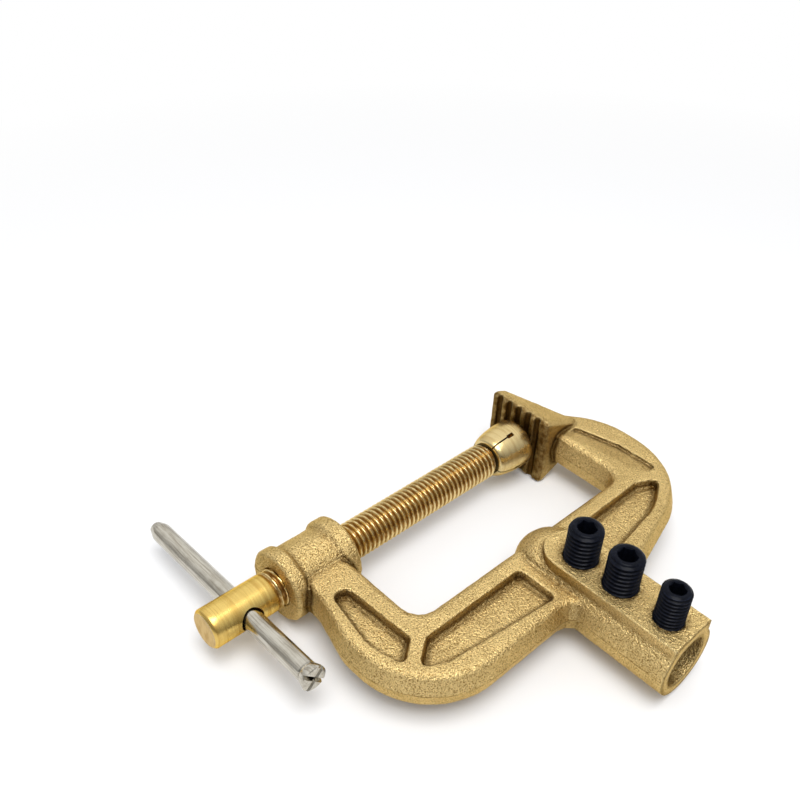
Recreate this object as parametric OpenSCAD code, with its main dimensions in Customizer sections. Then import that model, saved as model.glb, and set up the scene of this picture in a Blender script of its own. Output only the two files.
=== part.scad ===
// Grounding clamp: a cast brass C-frame with a cable socket at right angles to its
// spine, a brass clamp screw with a swivel cap and a loose tommy bar, and three hex
// socket set screws that hold the cable. Millimetres.
// Origin: centre of the cable socket's mouth, on the axis of its bore.
// +X runs along the clamp screw towards the jaw, +Y from the socket's mouth into the
// clamp, +Z out of the face that carries the set screws.

/* [Frame casting] */
// Distance from the mouth of the cable socket to the axis of the clamp screw
reach = 108.5; // [102:0.5:118]
// Width of the throat, between the inner walls of the two arms
throat_w = 103.5; // [96:0.5:118]
// Depth of the throat, from the axis of the clamp screw to the spine
throat_depth = 43.5; // [40:0.5:48]
// Distance from the axis of the cable socket to the inner wall of the jaw arm
jaw_arm_x = 48.5; // [44:0.5:58]
// Width of the spine
spine_w = 29.5; // [28:0.5:34]
// Width of the screw arm beside the spine
screw_arm_w = 25; // [24:0.5:30]
// Width of the screw arm beside the boss
screw_arm_neck_w = 20; // [18.5:0.5:22]
// Distance from the clamp screw's axis to where the screw arm starts to widen
neck_l = 16.5; // [14:0.5:20]
// Length over which the screw arm widens
taper_l = 18; // [12:0.5:20]
// Width of the jaw arm
jaw_arm_w = 26.8; // [25:0.1:32]
// Thickness of the frame over its two rims
frame_t = 14; // [12.5:0.5:18]
// Radius of the two inner corners of the throat
throat_r = 6; // [4:0.5:9]
// Radius of the outer corner below the screw arm
screw_corner_r = 31; // [22:0.5:33]
// Radius of the outer corner below the jaw arm
jaw_corner_r = 36; // [28:0.5:37]
// Slope of the spine's outer wall between the cable socket and the jaw arm
heel_angle = 15.5; // [12:0.5:18]
// How much lower that wall meets the cable socket than the one on the screw's side
heel_drop = 5.5; // [3:0.5:6]
// Radius of the webs between the spine's outer walls and the cable socket
web_r = 5; // [3:0.5:6]
// Radius of the bend at the back of the jaw arm
jaw_back_r = 33; // [20:1:36]
// Angle between the back of the jaw arm and its inner wall
jaw_back_angle = 40; // [37:0.5:44]
// Distance from the clamp screw's axis down to that bend
jaw_bend_l = 18; // [16:0.5:21]
// Rounding of the rims' edges
rim_round = 2.6; // [1:0.1:3]
// Draft: how far each wall leans back between the parting line and the rim
draft = 1.2; // [0.4:0.1:1.6]

/* [Recessed panels] */
// Depth of the panels below the rims
panel_depth = 3.2; // [1.5:0.1:4]
// Width of the rim between a panel and the throat, on the spine
spine_rim_w = 8; // [6.5:0.25:9]
// Width of the rim between a panel and the throat, on the screw arm
arm_rim_w = 9.5; // [8.5:0.25:10.5]
// Width of the rim between the screw arm's panel and the outside
outer_rim_w = 5.2; // [4:0.1:6]
// Width of the rim between the spine's panels and the outside, beside the socket
low_rim_w = 5; // [4:0.25:6.5]
// Width of the rim between the jaw arm's panel and the outside
jaw_rim_w = 10.5; // [9:0.25:12]
// Width of the ribs that cross the two corners
rib_w = 4; // [3:0.25:5]
// Slope of the rib at the screw arm's corner
screw_rib_angle = 37.5; // [34:0.5:42]
// Slope of the rib at the jaw arm's corner
jaw_rib_angle = 30.5; // [27:0.5:34]
// How far along the rib at the screw arm's corner its flanks begin
screw_rib_start = 9.5; // [8:0.5:11]
// How far along that rib its flanks end, at the outer rim
screw_rib_end = 20.5; // [18:0.5:22]
// How far along the rib at the jaw arm's corner its flanks begin
jaw_rib_start = 5.5; // [5:0.5:8]
// How far along that rib its flanks end, at the outer rim
jaw_rib_end = 17; // [15:0.5:19]
// Distance from the cable socket's flanks to the spine's panels
socket_rim_w = 2.7; // [2:0.1:4]
// Distance from the throat to the jaw arm's panel, at its end beside the jaw
jaw_panel_edge = 4; // [3:0.25:5]
// Width of the jaw arm's panel at that end
jaw_panel_w = 7.5; // [6:0.5:9]
// Distance from the clamp screw's axis to the end of the screw arm's panel
panel_end = 19.5; // [18:0.5:23]
// Corner radius of the panels
panel_r = 2; // [1:0.25:3]
// Slope of the jaw arm's panel, from the throat down to the foot of the outer rim
jaw_panel_slope = 9; // [6:0.5:12]

/* [Screw boss] */
// Radius of the barrel that the clamp screw runs through
boss_r = 11.5; // [10.5:0.1:12]
// Radius of the flange rings at the barrel's ends
flange_r = 13; // [12.4:0.1:14.5]
// Width of the outer flange ring
outer_flange_w = 5.5; // [4:0.25:7]
// Width of the inner flange ring
inner_flange_w = 6; // [4.5:0.25:7.5]
// Distance from the throat's wall to the outer end of the boss
boss_l = 23.5; // [22:0.5:30]
// How far the inner flange stands into the throat
boss_in = 4; // [2:0.25:5]

/* [Jaw] */
// Distance that the serrated face stands out of the jaw arm's inner wall
jaw_out = 5.5; // [4:0.25:8]
// Distance from the clamp screw's axis to the near end of the serrated face
jaw_near = 13.5; // [12.5:0.5:15]
// Distance from the clamp screw's axis to the far end of the serrated face
jaw_far = 16; // [14.5:0.5:18]
// Height of the serrated face
jaw_h = 30; // [27:0.5:34]
// Thickness of the jaw block at the free end of its serrated face
jaw_tip_t = 6.5; // [5.5:0.25:8]
// Distance from the block's inner end to its first groove
groove_start = 5.6; // [4:0.1:6]
// Distance between grooves
groove_pitch = 4.9; // [4.2:0.1:5]
// Width of the grooves
groove_w = 2.8; // [2:0.1:3.4]
// Depth of the grooves
groove_depth = 1.5; // [0.8:0.1:1.9]
// Number of grooves
groove_count = 5; // [3:1:5]
// Rounding of the jaw block's edges
jaw_round = 2; // [1:0.25:2.5]

/* [Cable socket] */
// Radius of the cable socket's bore
socket_bore_r = 9.3; // [8:0.1:10]
// Wall of the cable socket
socket_wall = 3.5; // [3:0.1:4.5]
// Depth of the cable socket's bore
socket_depth = 53; // [51:0.5:56]
// Height of the pad's top over the bore's axis
pad_z = 12.6; // [12:0.1:15]
// Width of the pad
pad_w = 19.2; // [17:0.1:21]
// Length of the pad, from the socket's mouth
pad_l = 57.5; // [55:0.5:60]
// Distance from the socket's mouth to the inner end of its body
body_l = 68; // [66:0.5:72]

/* [Set screws] */
// Thread diameter of the inner and the middle set screw
set_d = 12; // [10:1:12]
// Length of the inner and the middle set screw
set_l = 16.5; // [14:0.5:20]
// Thread diameter of the outer set screw
small_set_d = 10; // [8:1:10]
// Length of the outer set screw
small_set_l = 16.5; // [12:0.5:20]
// Distance from the socket's mouth to the outer set screw
small_set_y = 9.4; // [8.4:0.2:12]
// Distance from the socket's mouth to the middle set screw
middle_set_y = 28; // [25:0.5:30]
// Distance from the socket's mouth to the inner set screw
inner_set_y = 44.2; // [43.2:0.2:45.2]
// Radial clearance of all threads in their holes
thread_clear = 0.05; // [0.02:0.01:0.1]

/* [Clamp screw] */
// Thread diameter of the clamp screw
screw_d = 14; // [12:0.5:16]
// Gap between the swivel cap and the jaw, as pictured
jaw_gap = 1.5; // [0.5:0.5:12]
// Length of the thread
thread_l = 104.5; // [96:0.5:114]
// Pitch of the clamp screw's right-hand thread, 12 to the inch
thread_pitch = 2.117; // [1.9:0.001:2.5]
// Depth of that thread, from crest to root
thread_depth = 1.15; // [0.8:0.05:1.3]
// Width of the thread's crest, as a share of its pitch
crest_share = 0.16; // [0.1:0.01:0.3]
// Width of the thread's root, as a share of its pitch
root_share = 0.26; // [0.15:0.01:0.35]
// Length of the plain head
head_l = 26; // [22:0.5:30]
// Distance from the head's end to the cross hole
hole_from_end = 14; // [9:0.5:16]
// Chamfer of the head's end
head_chamfer = 1; // [0.5:0.1:2]
// Diameter of the neck behind the ball
neck_d = 8.4; // [7:0.1:9]
// Diameter of the ball that the cap turns on
ball_d = 11.4; // [10.5:0.1:12]
// Turn of the clamp screw, as pictured
bar_turn = -3.5; // [-20:0.5:20]

/* [Swivel cap] */
// Length of the swivel cap
cap_l = 17; // [16:0.5:20]
// Radius of the swivel cap at its widest
cap_r = 9.8; // [9.2:0.1:11.5]
// Radius of the crimped rear edge
cap_rear_r = 7.8; // [7.2:0.1:8.6]
// Thickness of the cap in front of the ball
cap_floor = 5; // [3.5:0.25:6]
// Clearance between the ball and the cap
ball_clear = 0.25; // [0.15:0.05:0.4]
// Clearance between the neck and the crimped lip
lip_clear = 0.5; // [0.3:0.05:0.7]
// Gap between the thread's end and the cap
cap_gap = 0.6; // [0.4:0.1:2]
// Number of slots between the petals
slot_count = 4; // [3:1:6]
// Width of the slots
slot_w = 0.9; // [0.6:0.1:1.5]
// Length of the slots
slot_l = 10.5; // [8:0.5:12]

/* [Tommy bar] */
// Diameter of the tommy bar
bar_d = 7.2; // [6:0.2:8]
// Length of the tommy bar
bar_l = 91; // [72:1:110]
// Distance from the clamp screw's axis to the bar's near end, as pictured
bar_near = 38.5; // [20:0.5:50]
// Diameter of the swaged head at the near end
bar_head_d = 9.4; // [9:0.2:12]
// Length of the swaged head
bar_head_l = 4; // [3:0.25:6]
// Length of the taper at the far end
bar_taper_l = 4; // [2:0.25:8]
// Diameter of the far end
bar_tip_d = 5; // [4:0.2:5.6]
// Radial clearance of the bar in its cross hole
bar_clear = 0.7; // [0.3:0.05:0.8]

/* [Hidden] */

cast_brass = [0.72, 0.6, 0.36];
turned_brass = [0.86, 0.68, 0.3];
black_oxide = [0.07, 0.07, 0.08];
plated_steel = [0.75, 0.74, 0.7];

// How far a cutter runs past the face that it opens
past = 1;
// Longest step along a cast corner
corner_step = 3;

// Places worked out from the driving dimensions
half_t = frame_t / 2;
throat_x = jaw_arm_x - throat_w;
throat_y = reach - throat_depth;
spine_y = throat_y - spine_w;
screw_arm_x = throat_x - screw_arm_w;
neck_x = throat_x - screw_arm_neck_w;
neck_y = reach - neck_l;
jaw_back_x = jaw_arm_x + jaw_arm_w;
jaw_x = jaw_arm_x - jaw_out;
jaw_y0 = reach - jaw_near;
jaw_y1 = reach + jaw_far;
boss_x0 = throat_x - boss_l;
boss_x1 = throat_x + boss_in;
socket_r = socket_bore_r + socket_wall;

// Corner outlines. A corner is [x, y, radius]; an outline runs anticlockwise.
function flat(v) = [v[0], v[1]];
function unit(v) = v / norm(v);
function left_of(v) = [-v[1], v[0]];
function heading(c, i) = unit(flat(c[(i + 1) % len(c)]) - flat(c[i]));
function before(c, i) = heading(c, (i + len(c) - 1) % len(c));
function bend(c, i) =
    let (a = before(c, i), b = heading(c, i))
    atan2(a[0] * b[1] - a[1] * b[0], a * b);

// Corner i of the outline with every wall moved inwards by d
function moved(c, i, d) =
    let (a = left_of(before(c, i)), b = left_of(heading(c, i)),
         p = flat(c[i]) + (a + b) * d / (1 + a * b))
    [p[0], p[1], max(0.3, c[i][2] - sign(bend(c, i)) * d)];

// The points of corner i, rounded; the number of points doesn't depend on d
function corner_points(c, i, d) =
    let (m = moved(c, i, d), turn = bend(c, i), side = sign(turn),
         a = before(c, i), start = flat(m) - a * m[2] * tan(abs(turn) / 2),
         centre = start + left_of(a) * side * m[2],
         steps = max(2, ceil(abs(turn) / 180 * PI * c[i][2] / corner_step)))
    [for (k = [0 : steps])
        let (t = turn * k / steps, r = start - centre)
        centre + [r[0] * cos(t) - r[1] * sin(t), r[0] * sin(t) + r[1] * cos(t)]];

function outline(c, d) = [for (i = [0 : len(c) - 1]) each corner_points(c, i, d)];

// Triangles that fill an outline: ears are cut off one after another
function side_of(a, b, p) = (b[0] - a[0]) * (p[1] - a[1]) - (b[1] - a[1]) * (p[0] - a[0]);
function inside(p, a, b, c) = side_of(a, b, p) > 0 && side_of(b, c, p) > 0 && side_of(c, a, p) > 0;
function is_ear(pts, left, k) =
    let (n = len(left), a = pts[left[(k + n - 1) % n]], b = pts[left[k]], c = pts[left[(k + 1) % n]])
    side_of(a, b, c) > 0 && len([for (j = left) if (inside(pts[j], a, b, c)) 1]) == 0;
function first_ear(pts, left, k) =
    k >= len(left) || is_ear(pts, left, k) ? k % len(left) : first_ear(pts, left, k + 1);
function ears(pts, left, from = 0) =
    len(left) == 3 ? [left]
    : let (n = len(left), k = first_ear(pts, left, from))
      concat([[left[(k + n - 1) % n], left[k], left[(k + 1) % n]]],
             ears(pts, [for (j = [0 : n - 1]) if (j != k) left[j]], (k + 1) % (n - 1)));

// A closed skin through levels [z, inset] of one outline, lowest level first
module skin(c, levels) {
    rings = [for (l = levels) [for (p = outline(c, l[1])) [p[0], p[1], l[0]]]];
    n = len(rings[0]);
    m = len(levels);
    fill = ears(rings[0], [for (i = [0 : n - 1]) i]);
    polyhedron(
        points = [for (r = rings) each r],
        faces = concat(
            [for (t = fill) t],
            [for (j = [0 : m - 2], i = [0 : n - 1])
                let (k = (i + 1) % n)
                each [[j * n + i, (j + 1) * n + k, j * n + k],
                      [j * n + i, (j + 1) * n + i, (j + 1) * n + k]]],
            [for (t = fill) [for (v = [2, 1, 0]) (m - 1) * n + t[v]]]
        )
    );
}

// Levels of a casting: parting line at z = 0, drafted walls, rounded rims
rim_steps = 3;
quarter_turn = 90;
upper_levels = [for (k = [0 : rim_steps])
    let (t = quarter_turn * k / rim_steps)
    [half_t - rim_round * (1 - sin(t)), draft + rim_round * (1 - cos(t))]];
casting_levels = concat(
    [for (k = [rim_steps : -1 : 0]) [-upper_levels[k][0], upper_levels[k][1]]],
    [[0, 0]],
    upper_levels
);

// Back of the jaw arm: its sloping line runs from the tip down to the bend
jaw_bend_y = reach - jaw_bend_l;
jaw_tip_y = jaw_bend_y + jaw_arm_w / tan(jaw_back_angle);
// The spine's outer walls end in webs against the flanks of the cable socket
flank = socket_r - 0.6;
web_l = 2 * web_r + 4;

frame_corners = [
    [screw_arm_x, spine_y, screw_corner_r],
    [-flank, spine_y, web_r],
    [-flank, spine_y - web_l, 1],
    [flank, spine_y - web_l, 1],
    [flank, spine_y - heel_drop, web_r - 1],
    [jaw_back_x, spine_y - heel_drop + (jaw_back_x - flank) * tan(heel_angle), jaw_corner_r],
    [jaw_back_x, jaw_bend_y, jaw_back_r],
    [jaw_arm_x, jaw_tip_y, 2],
    [jaw_arm_x, throat_y, throat_r],
    [throat_x, throat_y, throat_r],
    [throat_x, reach, 3],
    [neck_x, reach, 3],
    [neck_x, neck_y, 12],
    [screw_arm_x, neck_y - taper_l, 20]
];

// A point beside a rib: the rib leaves [x, y] at an angle, offset is to its left
function rib_point(x, y, angle, offset, along) =
    [x + along * cos(angle) - offset * sin(angle), y + along * sin(angle) + offset * cos(angle)];

module panel(c) {
    floor_z = half_t - panel_depth;
    skin(c, [[floor_z, 1.4], [floor_z + 0.6, 0.8], [half_t, 0], [half_t + past, -0.4]]);
}

// Flanks of the two ribs, at their inner and outer ends
socket_side = socket_r + socket_rim_w;
screw_rib = 180 + screw_rib_angle;
jaw_rib = -jaw_rib_angle;
screw_rib_x = throat_x + 1;
jaw_rib_x = jaw_arm_x - 1.3;
rib_y = throat_y - 1;
p1_in = rib_point(screw_rib_x, rib_y, screw_rib, -rib_w / 2, screw_rib_start);
p1_out = rib_point(screw_rib_x, rib_y, screw_rib, -rib_w / 2, screw_rib_end);
p2_in = rib_point(screw_rib_x, rib_y, screw_rib, rib_w / 2, screw_rib_start - 1.5);
p2_out = rib_point(screw_rib_x, rib_y, screw_rib, rib_w / 2, screw_rib_end);
p3_in = rib_point(jaw_rib_x, rib_y, jaw_rib, -rib_w / 2 - 0.6, jaw_rib_start);
p3_out = rib_point(jaw_rib_x, rib_y, jaw_rib, -rib_w / 2 - 0.6, jaw_rib_end);
p4_in = rib_point(jaw_rib_x, rib_y, jaw_rib, rib_w / 2, jaw_rib_start + 1.5);
p4_out = rib_point(jaw_rib_x, rib_y, jaw_rib, rib_w / 2, jaw_rib_end + 2);

screw_arm_panel = [
    [p1_in[0], p1_in[1], panel_r],
    [throat_x - arm_rim_w, reach - panel_end, 3],
    [neck_x + outer_rim_w - 1, reach - panel_end, 3],
    [screw_arm_x + outer_rim_w, throat_y + 1.5, 20],
    [p1_out[0], p1_out[1], panel_r]
];
spine_panel_left = [
    [p2_in[0], throat_y - spine_rim_w, panel_r],
    [p2_out[0], p2_out[1], panel_r],
    [screw_arm_x + 0.65 * screw_corner_r, spine_y + 2 * low_rim_w, 12],
    [-socket_side, spine_y + low_rim_w, panel_r],
    [-socket_side, throat_y - spine_rim_w, panel_r]
];
spine_panel_right = [
    [socket_side, spine_y + low_rim_w, panel_r],
    [jaw_back_x - 0.8 * jaw_corner_r, spine_y + low_rim_w + 4.3, 30],
    [p3_out[0], p3_out[1], panel_r],
    [p3_in[0], throat_y - spine_rim_w + 0.6, panel_r],
    [socket_side, throat_y - spine_rim_w, panel_r]
];
jaw_arm_panel = [
    [p4_in[0], p4_in[1], panel_r],
    [p4_out[0], p4_out[1], panel_r],
    [jaw_back_x - jaw_rim_w, jaw_bend_y - 16, 14],
    [jaw_arm_x + jaw_panel_edge + jaw_panel_w, jaw_y0 - 1.6, panel_r],
    [jaw_arm_x + jaw_panel_edge, jaw_y0 - 1.6, panel_r]
];

module both_faces() {
    children();
    mirror([0, 0, 1]) children();
}

module panels() {
    both_faces() {
        panel(screw_arm_panel);
        panel(spine_panel_left);
        panel(spine_panel_right);
        intersection() {
            panel(jaw_arm_panel);
            translate([jaw_arm_x + jaw_panel_edge, jaw_y0, half_t])
                rotate([0, 0, 8]) rotate([0, jaw_panel_slope, 0])
                    translate([-past, -2 * throat_depth, 0]) cube([3 * panel_end, 3 * throat_depth, frame_t]);
        }
    }
}

// Barrel and flange rings of the boss, turned about the clamp screw's axis
module screw_boss() {
    e = 1;
    translate([0, reach, 0]) rotate([0, 90, 0]) rotate_extrude($fn = 96) polygon([
        [0, boss_x0],
        [flange_r - e, boss_x0],
        [flange_r, boss_x0 + e],
        [flange_r, boss_x0 + outer_flange_w - e],
        [boss_r, boss_x0 + outer_flange_w + 0.8],
        [boss_r, boss_x1 - inner_flange_w - 0.8],
        [flange_r, boss_x1 - inner_flange_w + e],
        [flange_r, boss_x1 - e],
        [flange_r - e, boss_x1],
        [0, boss_x1]
    ]);
}

// Jaw block: a tall serrated face whose back slopes down to the arm's outer rim
module jaw_block() {
    r = jaw_round;
    hull() {
        for (y = [jaw_y0 + r, jaw_y1 - r])
            translate([jaw_x + r, y, 0]) chamfered_post(r, jaw_h);
        translate([jaw_x + jaw_tip_t - r, jaw_y1 - 1.5 * r, 0]) chamfered_post(r, jaw_h - 1);
        translate([jaw_back_x - jaw_rim_w - 3.5, jaw_y0 + r, 0]) chamfered_post(r, frame_t + 2);
    }
}

module chamfered_post(r, h) {
    c = r * 0.6;
    rotate_extrude($fn = 32) polygon([
        [0, -h / 2], [r - c, -h / 2], [r, -h / 2 + c], [r, h / 2 - c], [r - c, h / 2], [0, h / 2]
    ]);
}

module grooves() {
    r = (groove_depth * groove_depth + groove_w * groove_w / 4) / (2 * groove_depth);
    for (i = [0 : groove_count - 1])
        translate([jaw_x + groove_depth - r, jaw_y0 + groove_start + i * groove_pitch, -jaw_h / 2 - past])
            cylinder(r = r, h = jaw_h + 2 * past, $fn = 48);
}

// Rounded body of the cable socket, with the flat pad for the set screws on top
module socket_body() {
    rotate([-90, 0, 0]) cylinder(r = socket_r, h = body_l - socket_r, $fn = 96);
    translate([0, body_l - socket_r, 0]) sphere(r = socket_r, $fn = 64);
    linear_extrude(height = pad_z) union() {
        translate([-pad_w / 2, 0]) square([pad_w, pad_l - pad_w / 2]);
        translate([0, pad_l - pad_w / 2]) circle(r = pad_w / 2, $fn = 64);
    }
}

module set_hole(y, d) {
    translate([0, y, 0]) cylinder(r = d / 2 + thread_clear, h = pad_z + socket_r, $fn = 64);
}

module frame_casting() {
    color(cast_brass) difference() {
        union() {
            difference() {
                skin(frame_corners, casting_levels);
                panels();
            }
            screw_boss();
            jaw_block();
            socket_body();
        }
        translate([boss_x0 - past, reach, 0]) rotate([0, 90, 0])
            cylinder(r = screw_d / 2 + thread_clear, h = boss_x1 - boss_x0 + 2 * past, $fn = 96);
        translate([0, -past, 0]) rotate([-90, 0, 0])
            cylinder(r = socket_bore_r, h = socket_depth + past, $fn = 96);
        set_hole(inner_set_y, set_d);
        set_hole(middle_set_y, set_d);
        set_hole(small_set_y, small_set_d);
        grooves();
    }
}

// Places along the clamp screw
cap_x1 = jaw_x - jaw_gap;
cap_x0 = cap_x1 - cap_l;
ball_r = ball_d / 2;
ball_x = cap_x1 - cap_floor - ball_r;
thread_x1 = cap_x0 - cap_gap;
thread_x0 = thread_x1 - thread_l;
head_x0 = thread_x0 - head_l;
hole_x = head_x0 + hole_from_end;

// A right-hand thread along X, closed by a flat end of the root's radius at x0 and x1.
// Each turn has four points in every column: the feet of its two flanks and the edges
// of its crest. The last column joins the first one a turn further on.
module thread(r, x0, x1) {
    columns = 12;
    root_r = r - thread_depth;
    first = ceil(x0 / thread_pitch);
    turns = floor(x1 / thread_pitch - 1) - first;
    half_root = root_share / 2;
    half_crest = crest_share / 2;
    profile = [half_root, 0.5 - half_crest, 0.5 + half_crest, 1 - half_root];
    rows = 4 * turns;
    function at(x, radius, column) =
        [x, radius * cos(360 * column / columns), radius * sin(360 * column / columns)];
    function crest(turn) = root_r + thread_depth * max(0.1, min(1, turn, turns + 1 - turn));
    function row(column, i) =
        let (k = i % 4, turn = floor(i / 4) + column / columns)
        at(thread_pitch * (first + turn + profile[k]),
           k == 0 || k == 3 ? root_r : crest(turn), column);
    points = concat(
        [for (j = [0 : columns - 1]) at(x0, root_r, j)],
        [for (j = [0 : columns - 1]) at(x1, root_r, j)],
        [[x0, 0, 0], [x1, 0, 0]],
        [for (i = [0 : rows + 3]) row(0, i)],
        [for (j = [1 : columns - 1]) for (i = [0 : rows - 1]) row(j, i)]);
    body = 2 * columns + 2;
    function low(j) = j % columns;
    function high(j) = columns + j % columns;
    function id(j, i) = j == columns ? body + i + 4
                      : j == 0 ? body + i
                      : body + rows + 4 + (j - 1) * rows + i;
    last = columns - 1;
    top = rows - 1;
    faces = concat(
        [for (j = [0 : last]) each [[2 * columns, low(j), low(j + 1)],
                                    [2 * columns + 1, high(j + 1), high(j)]]],
        [for (j = [0 : last]) for (i = [0 : top - 1]) each
            [[id(j, i), id(j, i + 1), id(j + 1, i + 1)], [id(j, i), id(j + 1, i + 1), id(j + 1, i)]]],
        [for (j = [0 : last - 1]) each
            [[low(j), id(j, 0), id(j + 1, 0)], [low(j), id(j + 1, 0), low(j + 1)]]],
        [for (i = [0 : 3]) [id(last, 0), id(0, i + 1), id(0, i)]],
        [[id(last, 0), id(0, 0), low(0)], [id(last, 0), low(0), low(last)]],
        [for (j = [1 : last]) each
            [[id(j, top), high(j), high(j + 1)], [id(j, top), high(j + 1), id(j + 1, top)]]],
        [for (i = [0 : 3]) [id(1, top), id(0, top + i), id(0, top + i + 1)]],
        [[id(1, top), id(0, top + 4), high(0)], [id(1, top), high(0), high(1)]]);
    polyhedron(points, faces);
}

module clamp_screw() {
    r = screw_d / 2;
    color(turned_brass) translate([0, reach, 0]) difference() {
        union() {
            rotate([0, 90, 0]) rotate_extrude($fn = 96) polygon([
                [0, head_x0], [r - head_chamfer, head_x0], [r, head_x0 + head_chamfer],
                [r, thread_x0], [0, thread_x0]
            ]);
            thread(r, thread_x0 - past, thread_x1);
            rotate([0, 90, 0]) rotate_extrude($fn = 64) polygon(concat(
                [[0, thread_x1 - past], [neck_d / 2, thread_x1 - past]],
                [for (k = [0 : 12])
                    let (t0 = asin(neck_d / ball_d), t = 180 - t0 - (180 - t0) * k / 12)
                    [ball_r * sin(t), ball_x + ball_r * cos(t)]]
            ));
        }
        translate([hole_x, 0, 0]) rotate([bar_turn, 0, 0]) rotate([90, 0, 0])
            cylinder(r = bar_d / 2 + bar_clear, h = 2 * screw_d, center = true, $fn = 64);
    }
}

module swivel_cap() {
    hollow_r = ball_r + ball_clear;
    lip_r = neck_d / 2 + lip_clear;
    color(turned_brass) translate([0, reach, 0]) difference() {
        rotate([0, 90, 0]) rotate_extrude($fn = 96) polygon([
            [lip_r, cap_x0],
            [cap_rear_r - 0.5, cap_x0],
            [cap_rear_r, cap_x0 + 0.6],
            [cap_rear_r + (cap_r - cap_rear_r) * 0.55, cap_x0 + cap_l * 0.22],
            [cap_rear_r + (cap_r - cap_rear_r) * 0.85, cap_x0 + cap_l * 0.42],
            [cap_r, cap_x0 + cap_l * 0.62],
            [cap_r, cap_x1 - 2],
            [cap_r - 0.5, cap_x1 - 0.7],
            [cap_r - 1.5, cap_x1],
            [0, cap_x1],
            [0, cap_x1 - cap_floor + ball_clear],
            [hollow_r * 0.5, cap_x1 - cap_floor + ball_clear],
            [hollow_r, ball_x + hollow_r * 0.5],
            [hollow_r, ball_x - hollow_r * 0.35],
            [lip_r, ball_x - hollow_r * 0.95]
        ]);
        for (i = [0 : slot_count - 1])
            rotate([360 * i / slot_count + 20, 0, 0])
                translate([cap_x0 - past, -slot_w / 2, 0]) cube([slot_l + past, slot_w, cap_r + past]);
    }
}

module tommy_bar() {
    r = bar_d / 2;
    color(plated_steel) translate([hole_x, reach, 0]) rotate([bar_turn, 0, 0]) rotate([-90, 0, 0])
        rotate_extrude($fn = 64) polygon([
            [0, -bar_near],
            [bar_head_d / 2 - 0.8, -bar_near],
            [bar_head_d / 2, -bar_near + 0.8],
            [bar_head_d / 2, -bar_near + bar_head_l - 1],
            [r, -bar_near + bar_head_l],
            [r, bar_l - bar_near - bar_taper_l],
            [bar_tip_d / 2, bar_l - bar_near],
            [0, bar_l - bar_near]
        ]);
}

// A set screw with a hex socket in its top and a flat, chamfered tip just above the bore
module set_screw(y, d, l) {
    c = 0.9;
    key = d / 2;
    translate([0, y, socket_bore_r + 0.2]) difference() {
        rotate_extrude($fn = 64) polygon([
            [0, 0], [d / 2 - c - 0.6, 0], [d / 2, c + 0.6], [d / 2, l - c], [d / 2 - c, l], [0, l]
        ]);
        translate([0, 0, l - d / 2]) cylinder(r = key / sqrt(3), h = d / 2 + past, $fn = 6);
    }
}

module set_screw_inner() { color(black_oxide) set_screw(inner_set_y, set_d, set_l); }
module set_screw_middle() { color(black_oxide) set_screw(middle_set_y, set_d, set_l); }
module set_screw_outer() { color(black_oxide) set_screw(small_set_y, small_set_d, small_set_l); }

frame_casting();
clamp_screw();
swivel_cap();
tommy_bar();
set_screw_inner();
set_screw_middle();
set_screw_outer();
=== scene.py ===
"""Grounding clamp: the shapes, threads and finishes that the CAD frame carries, and its stage.

Lengths are in metres, in the frame's own axes: +X along the clamp screw towards the jaw, +Y from
the cable socket's mouth into the clamp, +Z out of the pad that carries the set screws.
"""

import math

import bmesh
import bpy
from mathutils import Matrix, Vector, noise


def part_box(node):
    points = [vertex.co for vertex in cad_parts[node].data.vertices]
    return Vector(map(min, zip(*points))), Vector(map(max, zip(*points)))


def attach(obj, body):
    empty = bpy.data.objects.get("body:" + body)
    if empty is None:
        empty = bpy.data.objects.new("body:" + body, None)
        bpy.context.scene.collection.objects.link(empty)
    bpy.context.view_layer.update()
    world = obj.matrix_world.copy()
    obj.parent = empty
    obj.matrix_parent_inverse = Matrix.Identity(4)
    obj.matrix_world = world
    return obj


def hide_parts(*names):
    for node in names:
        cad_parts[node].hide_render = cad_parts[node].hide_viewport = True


bl_info = {
    "name": "Grounding clamp",
    "version": (1, 0, 0),
    "blender": (4, 5, 0),
    "location": "3D View > Sidebar > Clamp",
    "description": "Builds a cast brass grounding clamp round its CAD frame",
    "category": "Object",
}

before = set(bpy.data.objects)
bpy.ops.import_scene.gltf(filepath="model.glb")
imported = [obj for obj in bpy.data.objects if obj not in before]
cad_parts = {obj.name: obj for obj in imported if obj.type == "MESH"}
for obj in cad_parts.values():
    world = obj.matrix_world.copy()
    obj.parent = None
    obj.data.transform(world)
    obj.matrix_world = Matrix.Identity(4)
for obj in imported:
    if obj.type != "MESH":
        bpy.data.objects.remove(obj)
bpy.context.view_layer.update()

MM = 0.001
FRAME_LOW, FRAME_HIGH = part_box("frame_casting")
SCREW_LOW, SCREW_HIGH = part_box("clamp_screw")
CAP_LOW, CAP_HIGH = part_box("swivel_cap")
BAR_LOW, BAR_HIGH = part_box("tommy_bar")
REACH = (CAP_LOW.y + CAP_HIGH.y) / 2
SET_SCREWS = {"inner": "set_inner", "middle": "set_middle", "outer": "set_outer"}

# Casting: the holes that stay crisp, the mould's waves as (cells to a metre, share), and the band
# that the jaw takes up
SCREW_BORE = 7.05 * MM
SCREW_BORE_SPAN = (-90 * MM, -45 * MM)
SOCKET_BORE = 9.3 * MM
SOCKET_BORE_SPAN = (-1 * MM, 52.8 * MM)
SET_HOLE_PLAY = 0.05 * MM
SET_HOLE_SPAN = (8 * MM, 14 * MM)
MOUTH_SKIN = 0.3 * MM
WAVES = ((260, 0.6), (900, 0.4))
FLASH_BREAKS = 300
FLASH_HALF = 0.7 * MM
UPRIGHT = 0.4
JAW_FACE_HALF = 12 * MM
JAW_HALF = 20 * MM

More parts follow.
